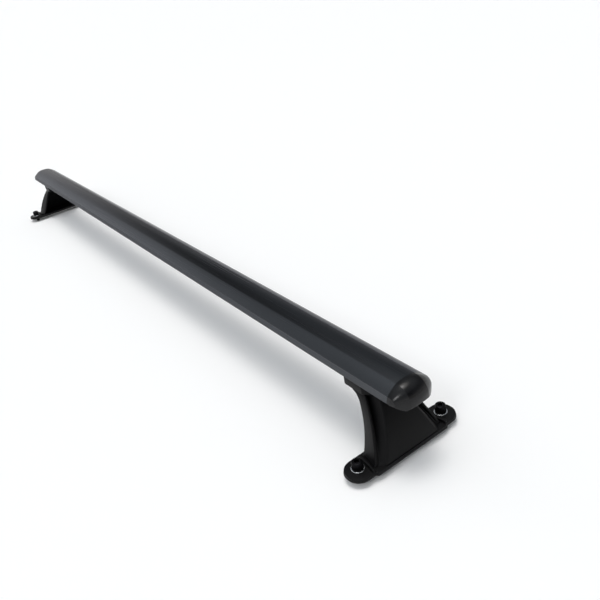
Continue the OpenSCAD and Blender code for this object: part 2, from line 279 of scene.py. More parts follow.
def slab(
    outline: np.ndarray,
    low: float,
    high: float,
    edge_r: float,
    holes: Sequence[tuple[float, float, float]] = (),
    hole_edge: float = 0.25,
    steps: int = 4,
) -> Shell:
    """A plate with rounded edges and countersunk round holes.

    Going up an edge, the outline moves in by the radius less its cosine share while the height grows by its
    sine share.

    Args:
        outline: Outline of the plate, shape (n, 2).
        low: Underside.
        high: Top.
        edge_r: Radius of both edges.
        holes: Centre X, centre Y and radius of each hole.
        hole_edge: Size of the holes' countersinks.
        steps: Segments of an edge's arc.

    Returns:
        The closed plate.
    """
    turn = np.linspace(0.0, 0.5 * np.pi, steps + 1)
    move = edge_r * (1.0 - np.sin(turn))
    rise = edge_r * (1.0 - np.cos(turn))
    outer = raised(
        inset_outline(outline, np.concatenate([move, move[::-1]])),
        np.concatenate([low + rise, high - rise[::-1]]),
    )
    sink = min(hole_edge, edge_r)
    bores = []
    for x, y, radius in holes:
        rings = np.stack([circle(radius + wide) for wide in (sink, 0.0, 0.0, sink)]) + np.array([x, y])
        bores.append(raised(rings, np.array([low, low + sink, high - sink, high])))
    return pillar(outer, bores)


def rectangle(inner: float, outer: float, half: float, corner_r: float) -> np.ndarray:
    """Outline with rounded corners that runs from inner to outer along X and half its width to each side."""
    corners = np.array([[inner, -half], [outer, -half], [outer, half], [inner, half]])
    return round_corners(corners, np.full(4, corner_r))


def make_piece(node: str, shells: Sequence[Shell], material: bpy.types.Material, crease_deg: float = 32.0) -> None:
    """Makes one piece of the scene in place of a CAD node.

    Args:
        node: The CAD node that the piece stands for.
        shells: The closed surfaces of the piece.
        material: Its finish.
        crease_deg: Edges that turn by more than this angle stay crisp.
    """
    starts = np.cumsum([0] + [len(shell.points) for shell in shells])
    points = np.concatenate([shell.points for shell in shells]) * MM
    faces = [[number + int(start) for number in face] for shell, start in zip(shells, starts) for face in shell.faces]
    mesh = bpy.data.meshes.new(f"{node}.look")
    mesh.from_pydata(points.tolist(), [], faces)
    work = bmesh.new()
    work.from_mesh(mesh)
    bmesh.ops.remove_doubles(work, verts=work.verts, dist=WELD)
    bmesh.ops.recalc_face_normals(work, faces=work.faces)
    work.to_mesh(mesh)
    work.free()
    mesh.shade_smooth()
    mesh.set_sharp_from_angle(angle=np.radians(crease_deg))
    mesh.materials.append(material)
    piece = bpy.data.objects.new(f"{node}.look", mesh)
    bpy.context.scene.collection.objects.link(piece)
    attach(piece, "root")
    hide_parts(node)
    LOG.info("%s: %d faces, %s", node, len(mesh.polygons), material.name)


def make_end_piece(
    kind: str,
    where: Sequence[Enum],
    shells: Sequence[Shell],
    material: bpy.types.Material,
    at: tuple[float, float, float] = (0.0, 0.0, 0.0),
) -> None:
    """Makes a piece of one end from shells that are built for the right-hand one.

    Args:
        kind: What the piece is. Its node is named for this and for where it sits.
        where: The side, and which of that side's like pieces it is.
        shells: The closed surfaces of the piece.
        material: Its finish.
        at: Where the shells' own origin lies at the right-hand end.
    """
    placed = [shell.moved(*at).mirrored(x=where[0].value) for shell in shells]
    make_piece("_".join([kind, *(place.name.lower() for place in where)]), placed, material)


# The bar and its caps share one wing section


Bound = Callable[[np.ndarray], tuple[float, np.ndarray]]


def round_bound(centre: np.ndarray, radius: float) -> Bound:
    """A circle, as the distance outside it and the outward direction at a point."""
    return lambda p: (np.linalg.norm(p - centre) - radius, (p - centre) / np.linalg.norm(p - centre))


def straight_bound(a: np.ndarray, b: np.ndarray, inset: float) -> Bound:
    """The line from a to b, moved to its left by inset, as the distance to its right and that direction."""
    out = np.array([b[1] - a[1], a[0] - b[0]]) / np.linalg.norm(b - a)
    return lambda p: (float(out @ (p - a)) + inset, out)


def meet(first: Bound, second: Bound, near: np.ndarray, rounds: int = 8) -> np.ndarray:
    """Finds where two bounds cross, by Newton's steps on the two distances.

    Args:
        first: One bound.
        second: The other bound.
        near: A point nearby, where the search begins.
        rounds: Number of steps.

    Returns:
        The crossing.
    """
    point = np.array(near, float)
    for _ in range(rounds):
        (far_a, out_a), (far_b, out_b) = first(point), second(point)
        point = point - np.linalg.solve(np.array([out_a, out_b]), np.array([far_a, far_b]))
    return point


@dataclass(frozen=True)
class WingSection:
    """The bar's section over its own underside: a low crown, bowed sides, a leaning band and a flat keel."""

    # Corners of the right half, from the crown down
    height: float = 28.0
    crease_half: float = 13.0
    shoulder_half: float = 26.7
    shoulder_height: float = 17.0
    edge_half: float = 29.0
    edge_height: float = 9.0
    keel_half: float = 17.0
    # Arcs between them
    crown_r: float = 50.0
    side_r: float = 60.0
    arc_steps: int = 12
    # Wall, slot and rounded corners
    wall: float = 2.0
    mouth_w: float = 10.5
    slot_w: float = 18.0
    slot_h: float = 6.5
    lip_t: float = 2.2
    crease_r: float = 1.1
    slot_r: float = 0.4
    chamber_r: float = 0.3

    @property
    def bevel_slope(self) -> float:
        """Rise of the lower bevel over its width."""
        return self.edge_height / (self.edge_half - self.keel_half)

    def half(self, inset: float = 0.0) -> tuple[np.ndarray, np.ndarray]:
        """Right half of the section.

        Args:
            inset: Distance that every face is moved in.

        Returns:
            The points from the top of the crown round to the corner of the underside, and their corner radii.
        """
        crown_centre = np.array([0.0, self.height - self.crown_r])
        crest = np.array([self.crease_half, crown_centre[1] + np.sqrt(self.crown_r**2 - self.crease_half**2)])
        shoulder = np.array([self.shoulder_half, self.shoulder_height])
        lower = np.array([self.edge_half, self.edge_height])
        keel = np.array([self.keel_half, 0.0])
        chord = shoulder - crest
        out = np.array([chord[1], -chord[0]]) / np.linalg.norm(chord)
        side_centre = 0.5 * (crest + shoulder) + out * np.sqrt(self.side_r**2 - 0.25 * (chord @ chord))
        crown = round_bound(crown_centre, self.crown_r - inset)
        side = round_bound(side_centre, self.side_r - inset)
        band = straight_bound(lower, shoulder, inset)
        bevel = straight_bound(keel, lower, inset)
        under = straight_bound(np.zeros(2), keel, inset)
        crest, shoulder = meet(crown, side, crest), meet(side, band, shoulder)
        lower, keel = meet(band, bevel, lower), meet(bevel, under, keel)
        top = arc(crown_centre, np.array([0.0, self.height - inset]), crest, self.arc_steps)
        flank = arc(side_centre, crest, shoulder, self.arc_steps)
        points = np.concatenate([top, flank[1:], [lower, keel]])
        radii = np.zeros(len(points))
        radii[[self.arc_steps, 2 * self.arc_steps, -2, -1]] = self.crease_r
        return points, radii

    def loop(self, inset: float = 0.0, slotted: bool = False) -> np.ndarray:
        """Whole rounded outline as one loop from the top of the crown.

        Args:
            inset: Distance that every face is moved in, apart from the slot's own.
            slotted: Whether the underside has its slot.

        Returns:
            The loop, shape (n, 2).
        """
        points, radii = self.half(inset)
        if slotted:
            slot_top = self.lip_t + self.slot_h
            mouth, inside = self.mouth_w / 2, self.slot_w / 2
            slot = [[mouth, inset], [mouth, self.lip_t], [inside, self.lip_t], [inside, slot_top]]
            points = np.concatenate([points, slot])
            radii = np.concatenate([radii, np.full(len(slot), self.slot_r)])
        mirror = points[:0:-1] * np.array([-1.0, 1.0])
        return round_corners(np.concatenate([points, mirror]), np.concatenate([radii, radii[:0:-1]]))

    def chamber(self, inset: float, margin: float = 0.0) -> np.ndarray:
        """Right chamber beside the web and the slot housing, every face moved in.

        Args:
            inset: Distance from the outer faces.
            margin: Distance from the web and the slot housing.

        Returns:
            The chamber's outline, shape (n, 2).
        """
        points, radii = self.half(inset)
        web = self.wall / 2 + margin
        housing = self.slot_w / 2 + self.wall + margin
        housing_top = self.lip_t + self.slot_h + self.wall + margin
        crown = points[0, 1]
        points = np.concatenate(
            [[[web, crown]], points[1:], [[housing, points[-1, 1]], [housing, housing_top], [web, housing_top]]]
        )
        radii = np.zeros(len(points))
        radii[[0, self.arc_steps, 2 * self.arc_steps, -5, -4, -3, -2, -1]] = self.chamber_r
        return round_corners(points, radii)


def along_bar(outlines: np.ndarray, places: Sequence[float], under: float) -> np.ndarray:
    """Stands outlines of the section across the bar at places along it.

    Args:
        outlines: One outline of shape (n, 2), or one for each place.
        places: X of each ring.
        under: Height of the bar's underside.

    Returns:
        Rings of shape (places, n, 3).
    """
    flat = np.broadcast_to(outlines, (len(places), *outlines.shape[-2:]))
    along = np.broadcast_to(np.reshape(places, (-1, 1, 1)), (*flat.shape[:2], 1))
    return np.concatenate([along, flat + np.array([0.0, under])], axis=-1)


@dataclass(frozen=True)
class Crossbar:
    """The extrusion: the wing section with its slot, its two chambers and the web between them."""

    layout: Layout
    section: WingSection
    end_edge: float = 0.3

    def build(self, material: bpy.types.Material) -> None:
        """Extrudes the section between the two saw cuts, whose outer edges are broken.

        Args:
            material: Finish of the extrusion.
        """
        under, edge = self.layout.bar_under, self.end_edge
        ends = np.array([-self.layout.bar_left, self.layout.bar_right])
        skin = self.section.loop(slotted=True)
        cut = self.section.loop(edge, slotted=True)
        outer = along_bar(
            np.stack([cut, skin, skin, cut]), [ends[0], ends[0] + edge, ends[1] - edge, ends[1]], under
        )
        chamber = self.section.chamber(self.section.wall)
        holes = [along_bar(chamber * np.array([sign, 1.0]), ends, under) for sign in (-1.0, 1.0)]
        make_piece("crossbar", [pillar(outer, holes)], material)


@dataclass(frozen=True)
class EndCap:
    """The moulded cap: a short collar, a nose turned out of the section, and a hollow plug in each chamber."""

    layout: Layout
    section: WingSection
    collar_len: float = 3.0
    wall: float = 2.2
    rim: float = 4.5
    plug_len: float = 24.0
    plug_gap: float = 0.3
    seam: float = 0.45
    rim_r: float = 0.8
    blend: float = 2.6
    turn_steps: int = 24
    rim_steps: int = 4
    back_steps: int = 14

    def surface(self, end: float) -> Shell:
        """Collar and nose as one folded sheet, from the bar's end round the tip and back underneath.

        A column belongs to one point of the section's upper outline. Over the nose it turns down about the line
        of the lower edge: X grows by the height over that line times the sine of the turn, and the height
        shrinks with its cosine. It then drops down the wall to the rim and runs back under the nose. The
        underside is the larger of the bar's own bevel and a like bevel from the tip, blended into each other.

        Args:
            end: X of the bar's cut end.

        Returns:
            The closed skin of the cap, without its plugs.
        """
        under, edge_z = self.layout.bar_under, self.section.edge_height
        skin, seam = self.section.loop(), self.section.loop(self.seam)
        right, left = int(np.argmax(skin[:, 0])), int(np.argmin(skin[:, 0]))
        over = np.concatenate([np.arange(left, len(skin)), np.arange(right + 1)])
        below = np.arange(right, left + 1)[::-1]

        def lower(loop: np.ndarray, y: np.ndarray) -> np.ndarray:
            """Height of a loop's underside at y."""
            return np.interp(y, loop[below, 0], loop[below, 1])

        start = end + self.collar_len
        y, rise = skin[over, 0], np.maximum(skin[over, 1] - edge_z, 0.0)
        tip = start + rise.max()

        def floor_at(x: np.ndarray, across: np.ndarray) -> np.ndarray:
            """Height of the nose's underside: half the two bevels' sum and softened difference, up to the edge."""
            own, front = lower(skin, across), self.rim - self.section.bevel_slope * (tip - x)
            return np.minimum(0.5 * (own + front + np.sqrt((own - front) ** 2 + self.blend**2)), edge_z)

        turn = np.linspace(0.0, 0.5 * np.pi, self.turn_steps + 1)[1:, None]
        far = start + rise
        out = np.stack([np.gradient(y), -np.gradient(far)], axis=-1)
        out = out / np.maximum(np.linalg.norm(out, axis=-1, keepdims=True), TINY)
        rim_z = floor_at(far, y)
        roll = np.linspace(0.5 * np.pi, 0.0, self.rim_steps + 1)[:, None]
        edge_x = far - self.rim_r * (1.0 - np.sin(roll)) * out[:, 0]
        edge_y = y - self.rim_r * (1.0 - np.sin(roll)) * out[:, 1]
        edge_low = np.minimum(rim_z + self.rim_r, edge_z)
        edge_zs = edge_low - (edge_low - floor_at(edge_x[-1], edge_y[-1])) * np.cos(roll)
        back = np.linspace(0.0, 1.0, self.back_steps + 1)[1:, None]
        back_x = edge_x[-1] + (start - edge_x[-1]) * back
        back_y = edge_y[-1] + (y - edge_y[-1]) * back
        rows = [
            (end, seam[over, 0], seam[over, 1]),
            (end + self.seam, y, skin[over, 1]),
            (start, y, skin[over, 1]),
            (start + rise * np.sin(turn), y, edge_z + rise * np.cos(turn)),
            (far, y, 0.5 * (edge_z + edge_low)),
            (edge_x, edge_y, edge_zs),
            (back_x, back_y, floor_at(back_x, back_y)),
            (end + self.seam, y, lower(skin, y)),
            (end, seam[over, 0], lower(seam, seam[over, 0])),
        ]
        sheets = []
        for parts in rows:
            whole = [np.atleast_2d(part) for part in parts]
            shape = (max(part.shape[0] for part in whole), len(over))
            sheets.append(np.stack([np.broadcast_to(part, shape) for part in whole], axis=-1))
        sheet = np.concatenate(sheets) + np.array([0.0, 0.0, under])
        count, columns = sheet.shape[:2]
        number = np.arange(count * columns).reshape(count, columns)
        quads = np.stack([number[:-1, :-1], number[:-1, 1:], number[1:, 1:], number[1:, :-1]], axis=-1)
        mouth = np.concatenate([number[0], number[-1, -2:0:-1]])
        return Shell(sheet.reshape(-1, 3), quads.reshape(-1, 4).tolist() + [mouth.tolist()])

    def plugs(self, end: float) -> list[Shell]:
        """The two hollow plugs, each closed between its outer and inner loop.

        Args:
            end: X of the bar's cut end.

        Returns:
            The plugs, from their inner ends to half way through the collar.
        """
        gap = self.section.wall + self.plug_gap
        places = [end - self.plug_len, end + 0.5 * self.collar_len]
        loops = (
            self.section.chamber(gap, self.plug_gap),
            self.section.chamber(gap + self.wall, self.plug_gap + self.wall),
        )
        shells = []
        for sign in (-1.0, 1.0):
            outer, inner = (along_bar(loop * np.array([sign, 1.0]), places, self.layout.bar_under) for loop in loops)
            shells.append(pillar(outer, [inner]))
        return shells

    def build(self, side: Side, material: bpy.types.Material) -> None:
        """Moulds the cap for one end of the bar.

        Args:
            side: The end that it closes.
            material: Finish of the plastic.
        """
        end = self.layout.bar_end(side)
        make_end_piece("end_cap", [side], [self.surface(end), *self.plugs(end)], material)


# Feet


def bowed(start: float, radius: float, tilt: float, h: np.ndarray) -> np.ndarray:
    """Offset of a face that leans in with height along an arc that bows outwards."""
    tilt = np.radians(tilt)
    return start - radius * np.cos(tilt) + np.sqrt(radius**2 - (radius * np.sin(tilt) + h) ** 2)


def dished(start: float, radius: float, tilt: float, h: np.ndarray) -> np.ndarray:
    """Offset of a face that closes in with height along an arc that bows inwards."""
    tilt = np.radians(tilt)
    return start + radius * np.cos(tilt) - np.sqrt(radius**2 - (radius * np.sin(tilt) - h) ** 2)


@dataclass(frozen=True)
class FootCasting:
    """The cast foot: a base plate with two lobes, a hollow tower that leans inboard, and a saddle plate."""

    layout: Layout
    section: WingSection
    # Base plate and its lobes
    lobe_r: float = 16.0
    lobe_shift: float = 2.0
    lobe_step: float = 3.5
    step_r: float = 2.5
    lobe_steps: int = 14
    base_front: float = 20.8
    base_front_half: float = 54.0
    base_corner: float = 4.0
    base_edge: float = 0.8
    bead_h: float = 3.6
    bead_w: float = 4.4
    bead_r: float = 1.6
    bead_edge: float = 1.5
    bead_ends: tuple[tuple[float, float], tuple[float, float]] = ((-12.5, 50.6), (17.6, 55.8))
    screw_r: float = 4.0
    hole_gap: float = 0.5
    # Front face of the tower: foot, leaning arc, half widths, and the joint line at its foot
    panel_foot: float = 20.3
    panel_lean_r: float = 140.0
    panel_tilt: float = 12.2
    panel_half_foot: float = 40.0
    panel_half_top: float = 13.5
    panel_joint: float = 0.9
    joint_h: float = 1.6
    joint_run: float = 0.6
    # Front edge of the side flanges
    flange_foot: float = 13.3
    flange_lean_r: float = 130.0
    flange_tilt: float = 15.5
    flange_half_foot: float = 51.0
    flange_half_r: float = 400.0
    flange_half_tilt: float = 18.9
    # Inboard rim of the side flanges
    rim_foot: float = -11.8
    rim_lean_r: float = 150.0
    rim_tilt: float = 11.0
    rim_half_foot: float = 47.0
    rim_half_r: float = 300.0
    rim_half_tilt: float = 26.5
    # Wall, grooves, gusset and fillet of the tower
    wall: float = 3.5
    groove_depth: float = 12.0
    least_groove: float = 0.6
    floor_w: float = 3.0
    corner: float = 1.5
    gusset_h: float = 9.0
    gusset_reach: float = 7.0
    gusset_step: float = 2.0
    fillet_h: float = 4.0
    fillet_reach: float = 2.0
    # Radii of the tower's corners, from the front face round to its inner side
    tower_radii: tuple[float, ...] = (1.4, 1.4, 1.6, 1.6, 1.2, 1.3, 1.5, 1.2, 1.6, 1.2, 1.2)
    corner_steps: int = 5
    fillet_steps: int = 8
    lean_steps: int = 20
    gusset_steps: int = 12
    # Saddle plate, and the cheeks along its sides
    saddle_inner: float = 62.0
    saddle_outer: float = 14.0
    saddle_half: float = 25.0
    saddle_shoulder: float = 28.5
    saddle_nose_half: float = 15.0
    saddle_corner: float = 5.0
    shoulder_r: float = 4.0
    nose_r: float = 2.0
    saddle_edge: float = 0.9
    clamp_r: float = 3.0
    cheek_inner: float = 18.2
    cheek_least: float = 0.6
    cheek_gap: float = 0.45
    cheek_foot: float = 1.0
    cheek_proud: float = 0.05
    cheek_inner_r: float = 0.2
    cheek_outer_r: float = 1.0
    cheek_round: float = 0.3  # greatest outer radius over the rib's width

    @property
    def tower_h(self) -> float:
        """Height of the tower between the two plates."""
        return self.layout.saddle_under - self.layout.plate_top

    def half_outline(self, h: np.ndarray) -> np.ndarray:
        """Half outlines of the tower at heights over the base plate, from the front face to the inner side.

        The front panel is set back at its foot, which leaves a dark joint line over the plate's edge.

        Args:
            h: k heights.

        Returns:
            The corners, shape (k, 11, 2): offset from the bolt line, and half width.
        """
        up = np.clip(h, 0.0, None) / self.tower_h
        fillet = self.fillet_reach * (1.0 - np.clip(h / self.fillet_h, 0.0, 1.0)) ** 2
        low = self.tower_h - self.gusset_step - self.gusset_h
        gusset = 1.0 - np.sqrt(1.0 - np.clip((h - low) / self.gusset_h, 0.0, 1.0) ** 2)
        panel = bowed(self.panel_foot, self.panel_lean_r, self.panel_tilt, h)
        face = panel - self.panel_joint * np.clip((self.joint_h - h) / self.joint_run, 0.0, 1.0)
        panel_half = self.panel_half_foot + (self.panel_half_top - self.panel_half_foot) * up
        edge = bowed(self.flange_foot, self.flange_lean_r, self.flange_tilt, h)
        edge_half = bowed(self.flange_half_foot, self.flange_half_r, self.flange_half_tilt, h) + fillet
        rim = bowed(self.rim_foot, self.rim_lean_r, self.rim_tilt, h) - self.gusset_reach * gusset
        rim_half = dished(self.rim_half_foot, self.rim_half_r, self.rim_half_tilt, h) + fillet
        deep = edge - self.least_groove - self.groove_depth * up
        slope = (edge_half - rim_half) / (edge - rim)
        deep_half = edge_half - slope * (edge - deep) - self.wall
        back = deep - self.wall
        back_half = edge_half - slope * (edge - back) - self.wall
        corners = [
            (face, panel_half - self.corner),
            (face - self.corner, panel_half + self.corner / 2),
            (deep, deep_half - self.floor_w),
            (deep, deep_half),
            (edge, edge_half - self.wall),
            (edge, edge_half),
            (rim, rim_half),
            (rim, rim_half - self.wall),
            (back, back_half),
            (back, deep_half - self.floor_w - self.corner),
            (panel - self.wall, panel_half - self.wall),
        ]
        return np.stack([np.stack(pair, axis=-1) for pair in corners], axis=1)

    def tower(self) -> Shell:
        """The hollow tower, lofted through outlines that lie close together in its fillet and its gusset.

        Returns:
            The tower, from the middle of the base plate to the middle of the saddle plate.
        """
        low = self.tower_h - self.gusset_step - self.gusset_h
        h = np.concatenate(
            [
                [-0.5 * self.layout.plate_t],
                self.fillet_h * np.linspace(0.0, 1.0, self.fillet_steps + 1),
                np.linspace(self.fillet_h, low, self.lean_steps + 1)[1:],
                low + self.gusset_h * np.sin(np.linspace(0.0, 0.5 * np.pi, self.gusset_steps + 1)[1:]),
                [self.tower_h + 0.5 * self.layout.saddle_t],
            ]
        )
        half = self.half_outline(h)
        corners = np.concatenate([half, half[:, ::-1] * np.array([1.0, -1.0])], axis=1)
        rings = round_corners(corners, np.array(self.tower_radii + self.tower_radii[::-1]), self.corner_steps)
        return pillar(raised(rings, self.layout.plate_top + h))

    def base_outline(self, margin: float = 0.0) -> np.ndarray:
        """Outline of the base plate, or of the pad under it.

        The outboard side of each lobe runs straight on from its arc and steps out to the plate's front corner.

        Args:
            margin: Distance that the outline stands out from the base plate's.

        Returns:
            The outline about the bolt line, shape (n, 2).
        """
        r, front, half = self.lobe_r + margin, self.base_front + margin, self.base_front_half + margin
        centre = np.array([0.0, self.layout.bolt_spacing / 2])
        shifted = centre + np.array([self.lobe_shift, 0.0])
        up, out = np.array([0.0, r]), np.array([r, 0.0])
        flank = shifted + out
        step = [[front, half - self.lobe_step / 2], [flank[0], half + self.lobe_step / 2]]
        outboard = arc(shifted, flank, shifted + up, self.lobe_steps)
        inboard = arc(centre, centre + up, centre - out, self.lobe_steps)
        upper = np.concatenate([step, outboard, inboard])
        radii = np.zeros(len(upper))
        radii[:2] = self.base_corner + margin, self.step_r
        loop = np.concatenate([upper, upper[::-1] * np.array([1.0, -1.0])])
        return round_corners(loop, np.concatenate([radii, radii[::-1]]), steps=6)

    def beads(self) -> list[Shell]:
        """The low ridges that run along the feet of the two flanges, between them and the lobes.

        Returns:
            The rear and the front ridge, which start half way through the base plate.
        """
        a, b = np.array(self.bead_ends)
        along = (b - a) / np.linalg.norm(b - a)
        across = np.array([along[1], -along[0]]) * self.bead_w / 2
        corners = np.array([a - across, a + across, b + across, b - across])
        loop = round_corners(corners, np.full(4, self.bead_r))
        bottom = self.layout.plate_top - self.layout.plate_t / 2
        top = self.layout.plate_top + self.bead_h
        return [slab(loop * np.array([1.0, sign]), bottom, top, self.bead_edge) for sign in (1.0, -1.0)]

    def screw_holes(self) -> list[tuple[float, float, float]]:
        """Holes of the two roof screws, about the bolt line."""
        reach = self.layout.bolt_spacing / 2
        return [(0.0, sign * reach, self.screw_r + self.hole_gap) for sign in (-1.0, 1.0)]

    def clamp_holes(self) -> list[tuple[float, float, float]]:
        """Holes of the two clamp screws, about the bolt line."""
        return [(x - self.layout.bolt_line, 0.0, self.clamp_r + self.hole_gap) for x in self.layout.clamps()]

    def saddle_outline(self) -> np.ndarray:
        """Outline of the saddle plate, narrowed at its outboard end.

        Returns:
            The outline about the bolt line, from the rear inboard corner on, shape (n, 2).
        """
        corners = np.array(
            [
                [-self.saddle_inner, self.saddle_half],
                [-self.saddle_shoulder, self.saddle_half],
                [-self.saddle_outer, self.saddle_nose_half],
                [-self.saddle_outer, -self.saddle_nose_half],
                [-self.saddle_shoulder, -self.saddle_half],
                [-self.saddle_inner, -self.saddle_half],
            ]
        )
        radii = np.array([self.saddle_corner, self.shoulder_r, self.nose_r])
        return round_corners(corners, np.concatenate([radii, radii[::-1]]), steps=6)

    def saddle(self) -> Shell:
        """The plate that carries the bar."""
        low, high = self.layout.saddle_under, self.layout.saddle_top
        return slab(self.saddle_outline(), low, high, self.saddle_edge, self.clamp_holes())

    def cheeks(self) -> list[Shell]:
        """The ribs along the saddle's sides, whose tops lie close under the bar's lower bevels.

        A four-cornered profile is carried along the plate's side. Its outer corners follow the outline, and its
        top leans as the bevel does, until the narrowing plate leaves it too thin.

        Returns:
            The rear and the front rib.
        """
        outline, section = self.saddle_outline(), self.section
        thin = self.cheek_inner + self.cheek_least
        last = int(np.argmax(outline[:, 1] < thin))
        before, after = outline[last - 1], outline[last]
        tip = before + (after - before) * (before[1] - thin) / (before[1] - after[1])
        bottom = self.layout.saddle_under + self.cheek_foot
        rings = []
        for x, y in np.concatenate([outline[:last], [tip]]) + np.array([0.0, self.cheek_proud]):
            sides = np.array([self.cheek_inner, y])
            tops = self.layout.bar_under + section.bevel_slope * (sides - section.keel_half) - self.cheek_gap
            corners = np.array([[sides[0], bottom], [sides[0], tops[0]], [y, tops[1]], [y, bottom]])
            outer_r = min(self.cheek_outer_r, self.cheek_round * (y - self.cheek_inner))
            profile = round_corners(corners, np.array([0.0, self.cheek_inner_r, outer_r, 0.0]))
            rings.append(np.insert(profile, 0, x, axis=1))
        return [pillar(np.stack(rings) * np.array([1.0, sign, 1.0])) for sign in (1.0, -1.0)]

    def build(self, side: Side, material: bpy.types.Material) -> None:
        """Casts the foot for one end of the bar.

        Args:
            side: The end that it stands under.
            material: Finish of the casting.
        """
        low, high = self.layout.pad_t, self.layout.plate_top
        base = slab(self.base_outline(), low, high, self.base_edge, self.screw_holes())
        shells = [base, self.tower(), self.saddle(), *self.cheeks(), *self.beads()]
        make_end_piece("foot", [side], shells, material, (self.layout.bolt_line, 0.0, 0.0))


@dataclass(frozen=True)
class Rubber:
    """The roof pad under each base plate and the strip between each saddle and the bar."""

    layout: Layout
    section: WingSection
    foot: FootCasting
    pad_margin: float = 0.6
    strip_margin: float = 1.0
    pad_edge: float = 0.4
    strip_edge: float = 0.3
    strip_corner: float = 1.0

    def build(self, side: Side, material: bpy.types.Material) -> None:
        """Cuts the pad and the strip of one end.

        Args:
            side: The end that they belong to.
            material: Finish of the rubber.
        """
        foot, layout = self.foot, self.layout
        inner, outer = self.strip_margin - foot.saddle_inner, -foot.saddle_outer - self.strip_margin
        pad = slab(foot.base_outline(self.pad_margin), 0.0, layout.pad_t, self.pad_edge, foot.screw_holes())
        plan = rectangle(inner, outer, self.section.keel_half, self.strip_corner)
        strip = slab(plan, layout.saddle_top, layout.bar_under, self.strip_edge, foot.clamp_holes())
        for kind, shell in (("roof_pad", pad), ("saddle_strip", strip)):
            make_end_piece(kind, [side], [shell], material, (layout.bolt_line, 0.0, 0.0))


# Hardware


@dataclass(frozen=True)
class SocketScrew:
    """A socket head cap screw, seated at height 0 with its shank down: knurled head, plain neck, rolled thread."""

    radius: float
    length: float
    head_r: float
    head_h: float
    pitch: float
    neck_r: float
    grip: float
    # Knurl: number and depth of its teeth, its edge over the seat, and its end over the head's height
    teeth: int = 42
    tooth_columns: int = 6
    knurl: float = 0.22
    seat_edge: float = 0.5
    knurl_end: float = 0.86
    # Plain rim over the knurl, between two shares of the head's height, and its upper edge, rounded in three steps
    rim_low: float = 0.88
    rim_high: float = 0.93
    crown_h: float = 0.25
    crown_steps: tuple[float, float, float] = (0.06, 0.35, 0.85)
    # Socket: its radius and its depth are the same share of the head's
    socket_share: float = 0.5
    socket_edge: float = 0.3
    # Shank: how far it reaches into the head, where its thread starts, and the thread's depth over its pitch
    sink: float = 0.4
    runout: float = 0.4
    thread_share: float = 0.6
    crest_flat: float = 0.1
    root_flat: float = 0.05
    shank_columns: int = 48
    turn_rows: int = 10

    def head(self) -> Shell:
        """The head, as rings whose radius follows the knurl outside and the hexagon of the socket inside.

        The knurl is a cosine wave round the head. The hexagon's radius is its half width over the cosine of the
        angle from the middle of the nearest flat.

        Returns:
            The closed head, standing on height 0.
        """
        columns = self.teeth * self.tooth_columns
        angle = np.linspace(0.0, 2.0 * np.pi, columns, endpoint=False)
        flat = np.pi / 6
        half_width = self.head_r * self.socket_share * np.cos(flat)
        hexagon = half_width / np.cos((angle + flat) % (2.0 * flat) - flat)
        knurled = self.head_r - self.knurl * (0.5 - 0.5 * np.cos(self.teeth * angle))
        rim = np.full(columns, self.head_r - self.knurl)
        top, floor = self.head_h, self.head_h * (1.0 - self.socket_share)
        crown = [rim - step for step in self.crown_steps]
        rows = [
            (0.0, rim + self.knurl - self.seat_edge),
            (0.7 * self.seat_edge, rim - 0.3 * self.seat_edge),
            (self.seat_edge, knurled),
            (top * self.knurl_end, knurled),
            (top * self.rim_low, rim),
            (top * self.rim_high, crown[0]),
            (top - self.crown_h, crown[1]),
            (top, crown[2]),
            (top, hexagon + self.socket_edge),
            (top - self.socket_edge, hexagon),
            (floor, hexagon),
            (floor - self.socket_edge, 0.75 * hexagon),
        ]
        outlines = np.stack([size[:, None] * circle(1.0, columns) for _, size in rows])
        return pillar(raised(outlines, np.array([height for height, _ in rows])))

    def shank(self) -> Shell:
        """Neck and thread: the radius falls with the distance from a crest that climbs one pitch a turn.

        The distance is cut off at both ends, which flattens crests and roots. Over the last fifth of the radius
        the thread tapers to the tip.

        Returns:
            The closed shank, from a little inside the head down to the tip.
        """
        angle = np.linspace(0.0, 2.0 * np.pi, self.shank_columns, endpoint=False)
        turns = np.arange(self.grip + self.runout, self.length, self.pitch / self.turn_rows)
        height = -np.concatenate([[-self.sink, self.grip], turns, [self.length]])[:, None]
        wave = np.abs(2.0 * ((height / self.pitch + angle / (2.0 * np.pi)) % 1.0) - 1.0)
        depth = np.clip((1.0 + self.crest_flat + self.root_flat) * wave - self.crest_flat, 0.0, 1.0)
        thread = self.radius - self.thread_share * self.pitch * depth
        taper = self.radius - np.clip(self.radius / 5 - (self.length + height), 0.0, None)
        size = np.where(-height <= self.grip, self.neck_r, np.minimum(thread, taper))
        return pillar(raised(size[..., None] * circle(1.0, self.shank_columns), height[:, 0]))

    def shells(self) -> list[Shell]:
        """Head and shank."""
        return [self.head(), self.shank()]


def flat_washer(outer: float, inner: float, thick: float, edge: float = 0.3, columns: int = 96) -> Shell:
    """A stamped washer with rounded edges, standing on height 0."""
    return slab(circle(outer, columns), 0.0, thick, edge, [(0.0, 0.0, inner)])


